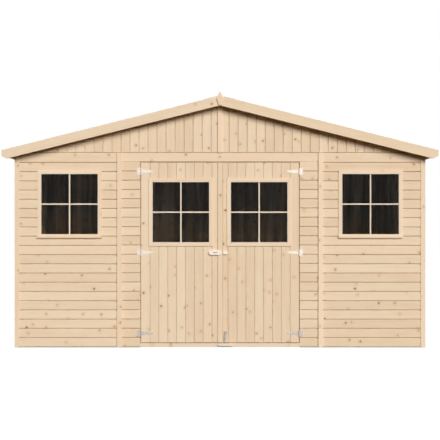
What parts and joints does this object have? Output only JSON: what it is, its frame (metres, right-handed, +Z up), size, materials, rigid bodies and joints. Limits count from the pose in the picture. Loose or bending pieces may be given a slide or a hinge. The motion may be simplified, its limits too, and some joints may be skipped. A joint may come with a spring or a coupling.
{
  "type": "garden shed",
  "caption": "Gable-front wooden garden shed with horizontal boarded walls, double doors with windows on tee hinges, a slide latch, a drop bolt and a low felt roof.",
  "frame": {"origin": "middle of the shed at ground level, at the bottom centre of its bounding box", "axes": "+X across the front to the viewer's right, +Y from the front with the doors to the back, +Z up"},
  "size_m": [4.132, 3.248, 2.4342],
  "materials": {
    "boards": "planed pale spruce, untreated",
    "trim": "planed pale spruce, untreated",
    "framing": "planed spruce framing timber",
    "felt": "bitumen roof felt with mineral grit",
    "zinc": "zinc-plated steel",
    "glass": "clear flat glass"
  },
  "bodies": {
    "root": {"floor_bearers": "framing", "floor_deck": "boards", "wall_plates": "framing", "wall_studs": "framing", "door_posts": "framing", "door_head": "framing", "door_threshold": "trim", "front_left_wall": "boards", "front_right_wall": "boards", "front_door_sides": "boards", "front_header": "boards", "front_gable": "boards", "back_wall": "boards", "back_gable": "boards", "left_wall": "boards", "right_wall": "boards", "gable_frames": "framing", "front_cover_strips": "trim", "back_cover_strips": "trim", "side_cover_strips": "trim", "roof_beams": "framing", "eave_boards": "trim", "roof_deck": "boards", "roof_felt": "felt", "ridge_cap": "felt", "bargeboards": "trim", "finials": "trim", "front_window_frames": "trim", "front_window_glass": "glass", "hinge_plates": "zinc", "drop_bolt_keeper": "trim"},
    "left_door": {"left_door_leaf": "boards", "left_door_ledges": "framing", "left_door_strip": "trim", "left_door_window_frame": "trim", "left_door_glass": "glass", "left_hinge_straps": "zinc", "latch_case": "zinc"},
    "right_door": {"right_door_leaf": "boards", "right_door_ledges": "framing", "right_door_window_frame": "trim", "right_door_glass": "glass", "right_hinge_straps": "zinc", "latch_keeper": "zinc", "drop_bolt_plate": "zinc"},
    "latch": {"latch_bolt": "zinc"},
    "drop_bolt": {"drop_bolt_rod": "zinc"}
  },
  "joints": [
    {"name": "left_door_hinge", "type": "hinge", "parent": "root", "child": "left_door", "pos_m": [-0.756, -1.506, 0.907], "axis": [0, 0, -1], "range_deg": [0, 165]},
    {"name": "right_door_hinge", "type": "hinge", "parent": "root", "child": "right_door", "pos_m": [0.756, -1.506, 0.907], "axis": [0, 0, 1], "range_deg": [0, 165]},
    {"name": "latch_slide", "type": "slide", "parent": "left_door", "child": "latch", "axis": [1, 0, 0], "range_m": [0, 0.03]},
    {"name": "drop_bolt_slide", "type": "slide", "parent": "right_door", "child": "drop_bolt", "axis": [0, 0, -1], "range_m": [0, 0.022]}
  ]
}
